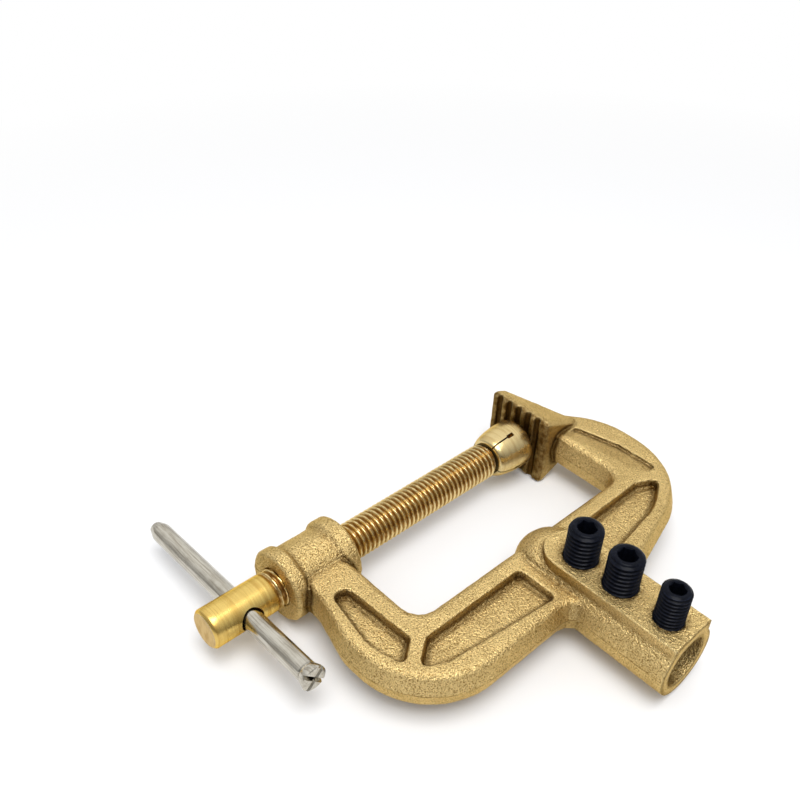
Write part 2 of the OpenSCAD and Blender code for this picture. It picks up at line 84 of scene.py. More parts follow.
# Where the casting is painted darker: each pair runs from bright to dark. The first two lie just past
# the cap's face and the third off the screw's axis, for painted shade on the jaw's face; the fourth
# lies outside a set screw, for scuffs with a painted contact shadow
JAW_SHADE_FRONT = (0.3 * MM, 1.2 * MM)
JAW_SHADE_BACK = (5.5 * MM, 2.5 * MM)
JAW_SHADE_SIDE = (-16 * MM, -14 * MM)
SCUFF_SHADOW_RING = (2.4 * MM, 0.5 * MM)
SCUFF_SHADOW_HEIGHT = (8 * MM, 9 * MM)

# Clamp screw: (distance from the sawn end, radius) and (distance past the thread, radius), in mm
HEAD_BEVEL = ((0, 5.4), (0, 5.7), (0.15, 6.1), (0.95, 6.88), (1.25, 7))
THREAD_FOOT = ((0.05, 5.4), (0.1, 4.5), (0.5, 4.2))
THREAD_RADIUS = 6.97 * MM
THREAD_GAP = 0.6 * MM
THREAD_LEAD = 2.2 * MM
THREAD_RUNOUT = 2.4 * MM
THREAD_BEVEL = 5.3 * MM
BEVEL_SLOPE = 0.9
THREAD_STEPS = 11
THREAD_CREST = 0.16
THREAD_FLANK = 0.58
NECK_RADIUS = 4.2 * MM
BALL_RADIUS = 5.7 * MM
BALL_ROWS = 13
CROSS_HOLE = 4.3 * MM
CROSS_HOLE_HALF = 12 * MM
THREAD_TINT_FROM = 0.4 * MM
SAWN_DEPTH = 0.2 * MM

# Swivel cap, from its front to its rear: mm back from the front and in from the widest, then
# (share of its length, share of its swell), then (mm from the rear, radius in mm)
CAP_FRONT = ((0, 4), (0, 1.6), (0.12, 0.95), (0.5, 0.45), (1.1, 0.12), (1.8, 0))
CAP_SWELL = ((0.68, 1), (0.54, 0.95), (0.38, 0.81), (0.24, 0.60), (0.12, 0.34))
CAP_LIP = ((0.55, 7.8), (0.12, 7.3), (0, 6.6), (0, 6.2), (0, 4.9), (0, 4.7))
CAP_REAR = 7.8 * MM
CAP_HOLLOW = 5.95 * MM
LIP_DEPTH = 0.05 * MM
SAW_CUTS = 4
SAW_CUT_FROM = 20
SAW_CUT_LENGTH = 8.2 * MM
SAW_CUT_HALF = 0.32 * MM
CUT_END_FROM = 8.3 * MM
CUT_END_LENGTH = 1.2 * MM
CUT_END_HALF = 0.8 * MM

# Tommy bar: (distance from the head's end, radius) and (distance from the far end, radius), in mm,
# and the stake's wedge as (width, depth), in mm
BAR_HEAD = ((0, 3.6), (0.1, 4), (0.35, 4.48), (0.8, 4.6), (1.5, 4.52), (2.3, 4.25), (3.2, 3.85),
            (3.6, 3.7), (3.8, 3.4), (4.1, 3.32), (4.4, 3.6))
BAR_TAPER = ((3.4, 3.52), (0.5, 2.55), (0.1, 2.4), (0, 2))
BAR_RADIUS = 3.6 * MM
BAR_TAPER_LENGTH = 4 * MM
STAKED_AT = 1.8 * MM
STAKED_SPAN = 2.4 * MM
STAKE_SQUEEZE = 0.06
STAKE_WEDGE = ((-1.3, -1), (1.3, -1), (0, 1.5))
STAKE_HALF = 6 * MM
DENTS = 0.01

# Set screws: (height over the foot, radius), and mm below the top and in from the thread's root
CUP_POINT = ((1.2, 1.2), (0, 2.6), (0.1, 3.1))
CROWN = ((0.3, 0.1), (0.02, 0.5), (0, 0.75))
CUP_HEIGHT = 1.3
CROWN_HEIGHT = 0.5
CROWN_BEVEL = 0.05 * MM
SET_PLAY = 0.02 * MM
SET_THREAD_DEPTH = 0.55
SET_STEPS = 12

# Stage
SOFTBOX_AIM = (-10 * MM, 80 * MM, 0)
SENSOR = 36


# Settings that a user would change


class CastingSettings(bpy.types.PropertyGroup):
    """The casting's skin"""

    voxel: bpy.props.FloatProperty(
        name="Voxel", description="Cell size of the casting's skin",
        default=0.38 * MM, min=0.3 * MM, subtype="DISTANCE", unit="LENGTH")
    smoothing: bpy.props.IntProperty(
        name="Smoothing", description="Passes that soften the casting's edges", default=1, min=0)
    triangles: bpy.props.IntProperty(
        name="Triangles", description="Triangles that the casting's skin is thinned to",
        default=190000, min=1000)
    ripple: bpy.props.FloatProperty(
        name="Ripple", description="Height of the sand mould's slow waves",
        default=0.15 * MM, subtype="DISTANCE", unit="LENGTH")
    flash: bpy.props.FloatProperty(
        name="Flash", description="Height of the ridge along the parting line",
        default=0.16 * MM, subtype="DISTANCE", unit="LENGTH")


class ThreadSettings(bpy.types.PropertyGroup):
    """The screws' threads"""

    pitch: bpy.props.FloatProperty(
        name="Pitch", description="Pitch of the clamp screw's thread",
        default=2.117 * MM, subtype="DISTANCE", unit="LENGTH")
    depth: bpy.props.FloatProperty(
        name="Depth", description="Depth of the clamp screw's thread",
        default=1.15 * MM, subtype="DISTANCE", unit="LENGTH")
    length: bpy.props.FloatProperty(
        name="Length", description="Length of the clamp screw's thread",
        default=104.5 * MM, subtype="DISTANCE", unit="LENGTH")
    set_pitch: bpy.props.FloatProperty(
        name="Set screw pitch", description="Pitch of the two larger set screws",
        default=1.75 * MM, subtype="DISTANCE", unit="LENGTH")
    small_set_pitch: bpy.props.FloatProperty(
        name="Small set screw pitch", description="Pitch of the outer set screw",
        default=1.5 * MM, subtype="DISTANCE", unit="LENGTH")


class FinishSettings(bpy.types.PropertyGroup):
    """The metals' colours"""

    cast: bpy.props.FloatVectorProperty(
        name="Cast brass", description="Colour of the tumbled casting",
        default=(0.68, 0.50, 0.215), size=3, subtype="COLOR")
    turned: bpy.props.FloatVectorProperty(
        name="Turned brass", description="Colour of the screw's plain head",
        default=(0.78, 0.56, 0.17), size=3, subtype="COLOR")
    thread: bpy.props.FloatVectorProperty(
        name="Threaded brass", description="Colour of the thread and the swivel cap",
        default=(0.80, 0.63, 0.31), size=3, subtype="COLOR")
    plating: bpy.props.FloatVectorProperty(
        name="Plating", description="Colour of the tommy bar's nickel plating",
        default=(0.56, 0.53, 0.455), size=3, subtype="COLOR")
    oxide: bpy.props.FloatVectorProperty(
        name="Black oxide", description="Colour of the set screws",
        default=(0.003, 0.0038, 0.007), size=3, subtype="COLOR")


class StageSettings(bpy.types.PropertyGroup):
    """The camera, the lamp and the floor"""

    camera: bpy.props.FloatVectorProperty(
        name="Camera", description="Place of the camera",
        default=(-0.20028, -0.07002, 0.23865), size=3, subtype="TRANSLATION", unit="LENGTH")
    azimuth: bpy.props.FloatProperty(
        name="Azimuth", description="Turn of the camera round the clamp",
        default=math.radians(-44.48), subtype="ANGLE", unit="ROTATION")
    elevation: bpy.props.FloatProperty(
        name="Elevation", description="Height of the camera over the horizon",
        default=math.radians(36.67), subtype="ANGLE", unit="ROTATION")
    roll: bpy.props.FloatProperty(
        name="Roll", description="Roll of the camera",
        default=math.radians(-2.88), subtype="ANGLE", unit="ROTATION")
    lens: bpy.props.FloatProperty(
        name="Lens", description="Focal length in millimetres on a 36 mm sensor",
        default=42.25, min=10, unit="CAMERA")
    softbox: bpy.props.FloatVectorProperty(
        name="Softbox", description="Place of the softbox",
        default=(-0.22, -0.15, 0.95), size=3, subtype="TRANSLATION", unit="LENGTH")
    softbox_size: bpy.props.FloatProperty(
        name="Softbox size", description="Length of each side of the softbox",
        default=0.6, subtype="DISTANCE", unit="LENGTH")
    softbox_power: bpy.props.FloatProperty(
        name="Softbox power", description="Power of the softbox in watts", default=7, unit="POWER")
    floor_z: bpy.props.FloatProperty(
        name="Floor", description="Height of the floor",
        default=FRAME_LOW.z - 0.05 * MM, subtype="DISTANCE", unit="LENGTH")


# Meshes


def linked(name, data):
    """A new object with that data, in the scene."""
    obj = bpy.data.objects.new(name, data)
    bpy.context.scene.collection.objects.link(obj)
    return obj


def new_piece(name, mesh, body, node, materials):
    """A piece that rides on a body and stands for a CAD node, with its materials."""
    obj = linked(name, mesh)
    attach(obj, body)
    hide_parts(node)
    mesh.materials.clear()
    for mat in materials:
        mesh.materials.append(mat)


def mesh_from(name, bm):
    """A smooth mesh with outward faces."""
    bmesh.ops.recalc_face_normals(bm, faces=bm.faces)
    mesh = bpy.data.meshes.new(name)
    bm.to_mesh(mesh)
    bm.free()
    for polygon in mesh.polygons:
        polygon.use_smooth = True
    return mesh


def carried_out(holder):
    """The mesh that an object's modifiers make of it. The object goes."""
    bpy.context.view_layer.update()
    graph = bpy.context.evaluated_depsgraph_get()
    result = bpy.data.meshes.new_from_object(holder.evaluated_get(graph))
    bpy.data.objects.remove(holder)
    return result


def cut(mesh, cutters, sharp):
    """The mesh with each cutter taken away, smooth between edges sharper than an angle in degrees."""
    holder = linked("cut", mesh)
    tools = [linked("cutter", cutter) for cutter in cutters]
    for tool in tools:
        step = holder.modifiers.new("cut", "BOOLEAN")
        step.operation = "DIFFERENCE"
        step.solver = "EXACT"
        step.object = tool
    result = carried_out(holder)
    result.name = mesh.name
    for tool in tools:
        bpy.data.objects.remove(tool)
    if len(result.polygons) < 8:
        raise RuntimeError(f"{mesh.name}: the cut left nothing")
    result.set_sharp_from_angle(angle=math.radians(sharp))
    return result


def revolve(bm, rows, place, segments=96, radius=None):
    """Turns rows of (station, radius) round an axis. place(station, y, z) puts a point; radius, if
    given, changes a row's radius with the angle. The first and last row close to a point."""
    rings = []
    for station, r in rows:
        ring = []
        for k in range(segments):
            angle = 2 * math.pi * k / segments
            rr = radius(station, angle, r) if radius else r
            ring.append(bm.verts.new(place(station, rr * math.cos(angle), rr * math.sin(angle))))
        rings.append(ring)
    for low, high in zip(rings, rings[1:]):
        for k in range(segments):
            n = (k + 1) % segments
            bm.faces.new((low[k], low[n], high[n], high[k]))
    for ring, row in ((rings[0], rows[0]), (rings[-1], rows[-1])):
        middle = bm.verts.new(place(row[0], 0, 0))
        for k in range(segments):
            bm.faces.new((ring[k], ring[(k + 1) % segments], middle))


def evenly(start, stop, count, r):
    """Rows of one radius after start, up to stop."""
    return [(start + (stop - start) * k / count, r) for k in range(1, count + 1)]


def rod(start, end, radius):
    """A plain round cutter from start to end."""
    axis = (end - start).normalized()
    side = axis.orthogonal().normalized()
    other = axis.cross(side)
    bm = bmesh.new()
    revolve(bm, [(0, radius), ((end - start).length, radius)],
            lambda s, y, z: start + axis * s + side * y + other * z, segments=48)
    return mesh_from("rod", bm)


def hull(name, corners):
    """The convex solid through some corners."""
    bm = bmesh.new()
    bmesh.ops.convex_hull(bm, input=[bm.verts.new(corner) for corner in corners])
    return mesh_from(name, bm)


def thread_radius(station, angle, pitch, major, depth):
    """Radius of a right-hand thread with a flat crest and root."""
    phase = (station / pitch - angle / (2 * math.pi)) % 1.0
    away = abs(phase - 0.5) * 2
    flank = min(max((away - THREAD_CREST) / THREAD_FLANK, 0.0), 1.0)
    return major - depth * flank


def along_screw(station, y, z):
    """A point by its place along and off the clamp screw's axis."""
    return Vector((station, REACH + y, z))


# Node groups


def group(name, inputs, outputs):
    """An empty shader node group with named inputs (name, kind, default) and outputs."""
    tree = bpy.data.node_groups.new(name, "ShaderNodeTree")
    for socket, kind, default in inputs:
        item = tree.interface.new_socket(socket, in_out="INPUT", socket_type="NodeSocket" + kind)
        item.default_value = default
    for socket, kind in outputs:
        tree.interface.new_socket(socket, in_out="OUTPUT", socket_type="NodeSocket" + kind)
    source = tree.nodes.new("NodeGroupInput")
    target = tree.nodes.new("NodeGroupOutput")
    return tree, source.outputs, target.inputs


def set_or_link(tree, socket, value):
    """A socket linked to another one, or set to a value."""
    if isinstance(value, bpy.types.NodeSocket):
        tree.links.new(value, socket)
    else:
        socket.default_value = value


def add(tree, kind, inputs=None, **values):
    """A node with its properties set and its inputs set or linked."""
    node = tree.nodes.new(kind)
    for key, value in values.items():
        setattr(node, key, value)
    for key, value in (inputs or {}).items():
        set_or_link(tree, node.inputs[key], value)
    return node


def effect(tree, make, name, inputs):
    """The outputs of a shared node group, built on first use, with its own inputs."""
    shared = bpy.data.node_groups.get(name) or make(name)
    return add(tree, "ShaderNodeGroup", inputs, node_tree=shared).outputs


def maths(tree, operation, a, b=0.0, clamp=False):
    """The result of one operation on a and b."""
    return add(tree, "ShaderNodeMath", {0: a, 1: b}, operation=operation, use_clamp=clamp).outputs[0]


def times(tree, a, b, clamp=False):
    """The product of a and b."""
    return maths(tree, "MULTIPLY", a, b, clamp)


def blend(tree, factor, a, b, mode="MIX"):
    """Colours a and b mixed by a factor."""
    return add(tree, "ShaderNodeMix", {0: factor, 6: a, 7: b}, data_type="RGBA",
               blend_type=mode).outputs[2]


def spread(tree, value, low, high, out_low=0.0, out_high=1.0):
    """A value in low..high stretched over out_low..out_high."""
    return add(tree, "ShaderNodeMapRange", {
        "Value": value, "From Min": low, "From Max": high, "To Min": out_low, "To Max": out_high,
    }).outputs["Result"]


def place_on(tree):
    """The point's place on its piece."""
    return add(tree, "ShaderNodeTexCoord").outputs["Object"]


def parts_of(tree, vector):
    """The X, Y and Z of a vector."""
    return add(tree, "ShaderNodeSeparateXYZ", {0: vector}).outputs


def rough_noise(tree, scale, detail=2.0, roughness=0.5, vector=None):
    """Noise over the piece, with scale cells to a metre."""
    return add(tree, "ShaderNodeTexNoise", {
        "Vector": vector or place_on(tree), "Scale": scale, "Detail": detail, "Roughness": roughness,
    }).outputs["Fac"]


def hollowness(tree, distance, samples, inside=False):
    """How open the surface is within a distance: 1 in the open, less in hollows, or, from inside
    the metal, less at edges."""
    return add(tree, "ShaderNodeAmbientOcclusion", {"Distance": distance}, samples=samples,
               inside=inside, only_local=True).outputs["AO"]


# Pairs of bare numbers in these groups are bands of noise or openness: where a look starts and is full


def sand_grain(name):
    """The skin of a sand casting after tumbling: bright specks on a dull ground, pits and waves."""
    tree, source, target = group(
        name,
        [("Color", "Color", (0.6, 0.45, 0.2, 1)), ("Grain Scale", "Float", 1500.0),
         ("Contrast", "Float", 0.5)],
        [("Color", "Color"), ("Roughness", "Float"), ("Height", "Float")])
    contrast = source["Contrast"]
    fine = rough_noise(tree, source["Grain Scale"], 3.0, 0.6)
    coarse = rough_noise(tree, times(tree, source["Grain Scale"], 0.5))
    cloud = rough_noise(tree, 75.0)
    specks = spread(tree, fine, 0.48, 0.66)
    pits = spread(tree, fine, 0.48, 0.34)
    pale = blend(tree, 1.0, source["Color"], (1.25, 1.28, 1.36, 1), "MULTIPLY")
    deep = blend(tree, 1.0, source["Color"], (0.32, 0.25, 0.14, 1), "MULTIPLY")
    color = blend(tree, times(tree, specks, contrast, clamp=True), source["Color"], pale)
    color = blend(tree, times(tree, pits, contrast, clamp=True), color, deep)
    color = blend(tree, spread(tree, cloud, 0.35, 0.68, 0.0, 0.22), color, deep)
    tree.links.new(color, target["Color"])
    ground = spread(tree, coarse, 0.3, 0.7, 0.40, 0.30)
    tree.links.new(maths(tree, "SUBTRACT", ground, times(tree, specks, 0.08)), target["Roughness"])
    height = maths(tree, "ADD", times(tree, fine, 0.55), times(tree, coarse, 0.9))
    tree.links.new(height, target["Height"])
    return tree


def wear_highlight_and_hollow_shade(name):
    """Rubbed edges turn paler and smoother, partly as a painted highlight, and hollows, out to deep
    bores, darken with tarnish and painted shade.
    """
    tree, source, target = group(
        name,
        [("Color", "Color", (0.6, 0.45, 0.2, 1)), ("Rubbed And Highlight Color", "Color", (0.9, 0.75, 0.45, 1)),
         ("Patina And Shade Color", "Color", (0.2, 0.12, 0.04, 1)), ("Roughness", "Float", 0.4),
         ("Wear", "Float", 0.5), ("Patina And Shade", "Float", 0.5), ("Reach", "Float", 3 * MM)],
        [("Color", "Color"), ("Roughness", "Float")])
    reach = source["Reach"]
    uneven = rough_noise(tree, 520.0, 3.0, 0.65)
    # rubbed edges, paler partly as a painted highlight
    inside = hollowness(tree, times(tree, reach, 0.5), 6, inside=True)
    rubbed_highlight = times(tree, spread(tree, inside, 0.8, 0.55), spread(tree, uneven, 0.3, 0.6))
    rubbed_highlight = times(tree, rubbed_highlight, source["Wear"], clamp=True)
    # tarnish with painted shade: darker where the surface is shut in within reach, and in deep bores
    near = spread(tree, hollowness(tree, reach, 6), 0.95, 0.82)
    wide = spread(tree, hollowness(tree, times(tree, reach, 8.0), 4), 0.55, 0.1, 0.0, 0.8)
    hollow = times(tree, maths(tree, "MAXIMUM", near, wide), spread(tree, uneven, 0.3, 0.55, 0.5, 1.3))
    hollow = times(tree, hollow, source["Patina And Shade"], clamp=True)
    color = blend(tree, hollow, source["Color"], source["Patina And Shade Color"])
    color = blend(tree, rubbed_highlight, color, source["Rubbed And Highlight Color"])
    tree.links.new(color, target["Color"])
    rough = maths(tree, "SUBTRACT", source["Roughness"], times(tree, rubbed_highlight, 0.1))
    rough = maths(tree, "ADD", rough, times(tree, hollow, 0.15))
    tree.links.new(rough, target["Roughness"])
    return tree


def parting_line(name):
    """The dark, broken line where the two halves of the sand mould met, at the height of the axes."""
    tree, source, target = group(name, [("Width", "Float", 0.22 * MM)], [("Line", "Float")])
    height = parts_of(tree, place_on(tree))["Z"]
    waver = spread(tree, rough_noise(tree, 120.0), 0.3, 0.7, -0.2 * MM, 0.2 * MM)
    away = maths(tree, "ABSOLUTE", maths(tree, "SUBTRACT", height, waver))
    line = maths(tree, "SUBTRACT", 1.0, maths(tree, "DIVIDE", away, source["Width"]), clamp=True)
    facing = parts_of(tree, add(tree, "ShaderNodeNewGeometry").outputs["Normal"])["Z"]
    upright = spread(tree, maths(tree, "ABSOLUTE", facing), 0.6, 0.3)
    broken = spread(tree, rough_noise(tree, 330.0), 0.34, 0.46)
    tree.links.new(times(tree, times(tree, line, upright), broken), target["Line"])
    return tree


def tool_marks(name):
    """Fine rings that a lathe tool leaves round an axis, and smears of handling."""
    tree, source, target = group(
        name,
        [("Color", "Color", (0.8, 0.55, 0.2, 1)), ("Dark Color", "Color", (0.5, 0.3, 0.1, 1)),
         ("Stretch", "Vector", (1.0, 1.0, 1.0)), ("Marks", "Float", 0.5),
         ("Roughness", "Float", 0.25)],
        [("Color", "Color"), ("Roughness", "Float"), ("Height", "Float")])
    stretched = add(tree, "ShaderNodeVectorMath", {0: place_on(tree), 1: source["Stretch"]},
                    operation="MULTIPLY").outputs[0]
    rings = rough_noise(tree, 1.0, 3.0, 0.6, stretched)
    smear = rough_noise(tree, 160.0, 3.0, 0.6)
    dark = times(tree, spread(tree, rings, 0.45, 0.7), source["Marks"])
    stain = spread(tree, smear, 0.5, 0.75, 0.0, 0.35)
    color = blend(tree, dark, source["Color"], source["Dark Color"])
    color = blend(tree, stain, color, source["Dark Color"])
    tree.links.new(color, target["Color"])
    rough = maths(tree, "ADD", source["Roughness"], times(tree, rings, 0.12))
    rough = maths(tree, "ADD", rough, times(tree, stain, 0.25))
    tree.links.new(rough, target["Roughness"])
    tree.links.new(rings, target["Height"])
    return tree


# Materials


def tint(color, red, green, blue):
    """A colour with each channel scaled, for a colour socket."""
    return (*[min(c * f, 1.0) for c, f in zip(color, (red, green, blue))], 1)


def shade(color, factor=1.0):
    """A colour made darker or lighter, for a colour socket."""
    return tint(color, factor, factor, factor)


def material(name):
    """A material with its Principled shader: (material, node tree, shader)."""
    mat = bpy.data.materials.new(name)
    mat.use_nodes = True
    return mat, mat.node_tree, mat.node_tree.nodes["Principled BSDF"]


def once(make, name, color, **values):
    """The material of that name, made on first use."""
    return bpy.data.materials.get(name) or make(name, color, **values)


def wire_up(tree, shader, look, height, strength, distance):
    """Links a group's colour and roughness to the shader, and a height through a bump."""
    tree.links.new(look["Color"], shader.inputs["Base Color"])
    tree.links.new(look["Roughness"], shader.inputs["Roughness"])
    bump = add(tree, "ShaderNodeBump", {"Height": height, "Strength": strength, "Distance": distance})
    tree.links.new(bump.outputs["Normal"], shader.inputs["Normal"])


def jaw_painted_shade(tree):
    """Painted shade on the jaw's serrated face just past the cap, darkest on faces turned towards the
    cap: 1 there, 0 elsewhere.
    """
    where = add(tree, "ShaderNodeTexCoord").outputs
    place = parts_of(tree, where["Object"])
    depth = maths(tree, "SUBTRACT", place["X"], CAP_HIGH.x)
    off_axis = maths(tree, "SUBTRACT", place["Y"], REACH)
    near = times(tree, spread(tree, depth, *JAW_SHADE_FRONT), spread(tree, depth, *JAW_SHADE_BACK))
    near = times(tree, near, spread(tree, off_axis, *JAW_SHADE_SIDE))
    # painted shade: faces turned towards the cap get the most
    turned = spread(tree, parts_of(tree, where["Normal"])["X"], 0.2, -0.6, 0.3, 1.0)
    patchy = spread(tree, rough_noise(tree, 400.0, 3.0, 0.6), 0.3, 0.6, 0.55, 1.0)
    return times(tree, times(tree, near, turned), patchy)


def scuffs_and_painted_shadow(tree):
    """The dark rings round the set screws' holes, scuffs with a painted contact shadow: 1 there, 0
    elsewhere.
    """
    place = parts_of(tree, place_on(tree))
    flat = add(tree, "ShaderNodeCombineXYZ", {0: place["X"], 1: place["Y"]}).outputs[0]
    rings = 0.0
    for name in SET_SCREWS:
        low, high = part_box("set_screw_" + name)
        centre = ((low.x + high.x) / 2, (low.y + high.y) / 2, 0)
        away = add(tree, "ShaderNodeVectorMath", {0: flat, 1: centre},
                   operation="DISTANCE").outputs["Value"]
        outside = maths(tree, "SUBTRACT", away, (high.x - low.x) / 2)
        rings = maths(tree, "MAXIMUM", spread(tree, outside, *SCUFF_SHADOW_RING), rings)
    top = spread(tree, place["Z"], *SCUFF_SHADOW_HEIGHT)
    patchy = spread(tree, rough_noise(tree, 700.0, 3.0, 0.7), 0.38, 0.6, 0.1, 1.0)
    return times(tree, times(tree, rings, top), patchy)


def cast_brass(name, brass):
    """Tumbled sand casting: bright grain, tarnish with painted shade in hollows, rubbed edges with
    painted highlights, a parting line, painted shade on the jaw's face and scuffs with a painted
    contact shadow round the set screws.
    """
    mat, tree, shader = material(name)
    grain = effect(tree, sand_grain, "Sand grain", {
        "Color": shade(brass), "Grain Scale": 2300.0, "Contrast": 1.25})
    seam = effect(tree, parting_line, "Parting line", {})["Line"]
    color = blend(tree, seam, grain["Color"], tint(brass, 0.28, 0.2, 0.1))
    # painted shade on the jaw's face next to the cap, a deep brown
    color = blend(tree, jaw_painted_shade(tree), color, tint(brass, 0.16, 0.11, 0.06))
    # scuffs with a painted contact shadow round each set screw
    color = blend(tree, scuffs_and_painted_shadow(tree), color, tint(brass, 0.2, 0.14, 0.08))
    # the edge group paints highlights on rubbed edges and shade along with the tarnish in hollows
    worn = effect(tree, wear_highlight_and_hollow_shade, "Edge wear", {
        "Color": color, "Roughness": grain["Roughness"],
        "Rubbed And Highlight Color": tint(brass, 1.5, 1.65, 2.0), "Patina And Shade Color": tint(brass, 0.11, 0.07, 0.03),
        "Wear": 0.9, "Patina And Shade": 1.7, "Reach": 2.4 * MM})
    wire_up(tree, shader, worn, grain["Height"], 1.0, 0.42 * MM)
    shader.inputs["Metallic"].default_value = 1.0
    shader.inputs["Specular Tint"].default_value = (0.86, 0.72, 0.45, 1)
    return mat


def turned_brass(name, color, stretch, marks, roughness):
    """Brass from the lathe, with its tool marks, stains, rubbed edges partly painted as highlights, and
    tarnish with painted shade in hollows.
    """
    mat, tree, shader = material(name)
    turned = effect(tree, tool_marks, "Tool marks", {
        "Color": shade(color), "Dark Color": tint(color, 0.62, 0.5, 0.34),
        "Stretch": stretch, "Marks": marks, "Roughness": roughness})
    # rubbed edges partly as painted highlights, tarnish in hollows partly as painted shade
    worn = effect(tree, wear_highlight_and_hollow_shade, "Edge wear", {
        "Color": turned["Color"], "Roughness": turned["Roughness"],
        "Rubbed And Highlight Color": tint(color, 1.15, 1.25, 1.5), "Patina And Shade Color": tint(color, 0.4, 0.28, 0.16),
        "Wear": 0.4, "Patina And Shade": 0.9, "Reach": 1.3 * MM})
    wire_up(tree, shader, worn, turned["Height"], 0.3, 0.05 * MM)
    shader.inputs["Metallic"].default_value = 1.0
    shader.inputs["Specular Tint"].default_value = (0.95, 0.75, 0.4, 1)
    return mat


def plated_steel(name, plating):
    """Nickel plating over drawn bar, with streaks along it."""
    mat, tree, shader = material(name)
    marks = effect(tree, tool_marks, "Tool marks", {
        "Color": shade(plating), "Dark Color": tint(plating, 0.42, 0.38, 0.32),
        "Stretch": (1500.0, 60.0, 1500.0), "Marks": 0.75, "Roughness": 0.14})
    wire_up(tree, shader, marks, marks["Height"], 0.35, 0.06 * MM)
    shader.inputs["Metallic"].default_value = 1.0
    return mat


def black_oxide(name, oxide):
    """Oiled black oxide, a little greyer on the thread's crests as wear and a painted highlight, and a
    little darker in hollows as painted shade.
    """
    mat, tree, shader = material(name)
    cloud = rough_noise(tree, 900.0, 3.0, 0.6)
    # the crests grey as wear and a painted highlight, and hollows darken as painted shade
    worn = effect(tree, wear_highlight_and_hollow_shade, "Edge wear", {
        "Color": blend(tree, spread(tree, cloud, 0.4, 0.7), shade(oxide), shade(oxide, 2)),
        "Roughness": spread(tree, cloud, 0.3, 0.7, 0.2, 0.3),
        "Rubbed And Highlight Color": tint(oxide, 5, 5, 5.5), "Patina And Shade Color": shade(oxide, 0.5), "Reach": 1 * MM})
    wire_up(tree, shader, worn, cloud, 0.25, 0.05 * MM)
    shader.inputs["Metallic"].default_value = 0.0
    shader.inputs["Specular IOR Level"].default_value = 0.07
    return mat


# Pieces


def skinned(node, voxel, smoothing):
    """The CAD node's mesh with an even skin and softened edges."""
    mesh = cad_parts[node].data.copy()
    mesh.materials.clear()
    holder = linked("skin", mesh)
    step = holder.modifiers.new("skin", "REMESH")
    step.mode = "VOXEL"
    step.voxel_size = voxel
    step = holder.modifiers.new("soften", "SMOOTH")
    step.factor = 0.5
    step.iterations = smoothing
    return carried_out(holder)


def thinned(mesh, triangles):
    """The mesh with its flattest stretches in larger faces."""
    holder = linked("thin", mesh)
    step = holder.modifiers.new("thin", "DECIMATE")
    step.ratio = min(1.0, triangles / (2 * len(mesh.polygons)))
    return carried_out(holder)


def machined_holes():
    """Holes that stay crisp in the casting: (point, axis, radius, span along the axis)."""
    holes = [(Vector((0, REACH, 0)), Vector((1, 0, 0)), SCREW_BORE, SCREW_BORE_SPAN),
             (Vector((0, 0, 0)), Vector((0, 1, 0)), SOCKET_BORE, SOCKET_BORE_SPAN)]
    for name in SET_SCREWS:
        low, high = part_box("set_screw_" + name)
        middle = (low + high) / 2
        radius = (high.x - low.x) / 2 + SET_HOLE_PLAY
        holes.append((Vector((middle.x, middle.y, 0)), Vector((0, 0, 1)), radius, SET_HOLE_SPAN))
    return holes


def reamed(point, holes):
    """The point, moved out to the wall of a hole that it lies in."""
    for origin, axis, radius, (start, end) in holes:
        away = point - origin
        along = away.dot(axis)
        if start < along < end:
            side = away - axis * along
            if side.length < radius:
                point = origin + axis * along + side.normalized() * radius
    return point


def cast_skin(mesh, settings):
    """Waves of the sand mould, flash along the parting line, and reamed holes."""
    holes = machined_holes()
    moved = []
    for point, normal in [(v.co.copy(), v.normal.copy()) for v in mesh.vertices]:
        wave = sum(noise.noise(point * cells) * share for cells, share in WAVES)
        lift = wave * settings.ripple
        if abs(normal.z) < UPRIGHT:
            broken = min(max(0.55 + noise.noise(point * FLASH_BREAKS), 0.0), 1.0)
            lift += settings.flash * max(0.0, 1 - abs(point.z) / FLASH_HALF) * broken
        point = reamed(point + normal * lift, holes)
        if point.y < MOUTH_SKIN:
            point.y = FRAME_LOW.y
        moved.extend(point)
    mesh.vertices.foreach_set("co", moved)
    mesh.polygons.foreach_set("use_smooth", [True] * len(mesh.polygons))
    mesh.update()


def trim(mesh):
    """Keeps the skin inside the CAD casting's box and behind the jaw's face, clear of the cap."""
    points = [v.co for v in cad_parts["frame_casting"].data.vertices]
    face = min(p.x for p in points if p.x > CAP_HIGH.x and abs(p.y - REACH) < JAW_FACE_HALF)
    held = []
    for point in [v.co.copy() for v in mesh.vertices]:
        if point.x > CAP_HIGH.x and abs(point.y - REACH) < JAW_HALF:
            point.x = max(point.x, face)
        held.extend(min(max(c, a), b) for c, a, b in zip(point, FRAME_LOW, FRAME_HIGH))
    mesh.vertices.foreach_set("co", held)
    mesh.update()


class CLAMP_OT_frame_casting(bpy.types.Operator):
    """Skin of the C-shaped casting, from its CAD node"""

    bl_idname = "clamp.frame_casting"
    bl_label = "Frame casting"

    def execute(self, context):
        settings = context.scene.clamp_casting
        finish = context.scene.clamp_finish
        mesh = skinned("frame_casting", settings.voxel, settings.smoothing)
        cast_skin(mesh, settings)
        mesh = thinned(mesh, settings.triangles)
        trim(mesh)
        mesh.name = "casting"
        new_piece("casting", mesh, "frame", "frame_casting",
                  [once(cast_brass, "Cast brass", finish.cast)])
        return {"FINISHED"}


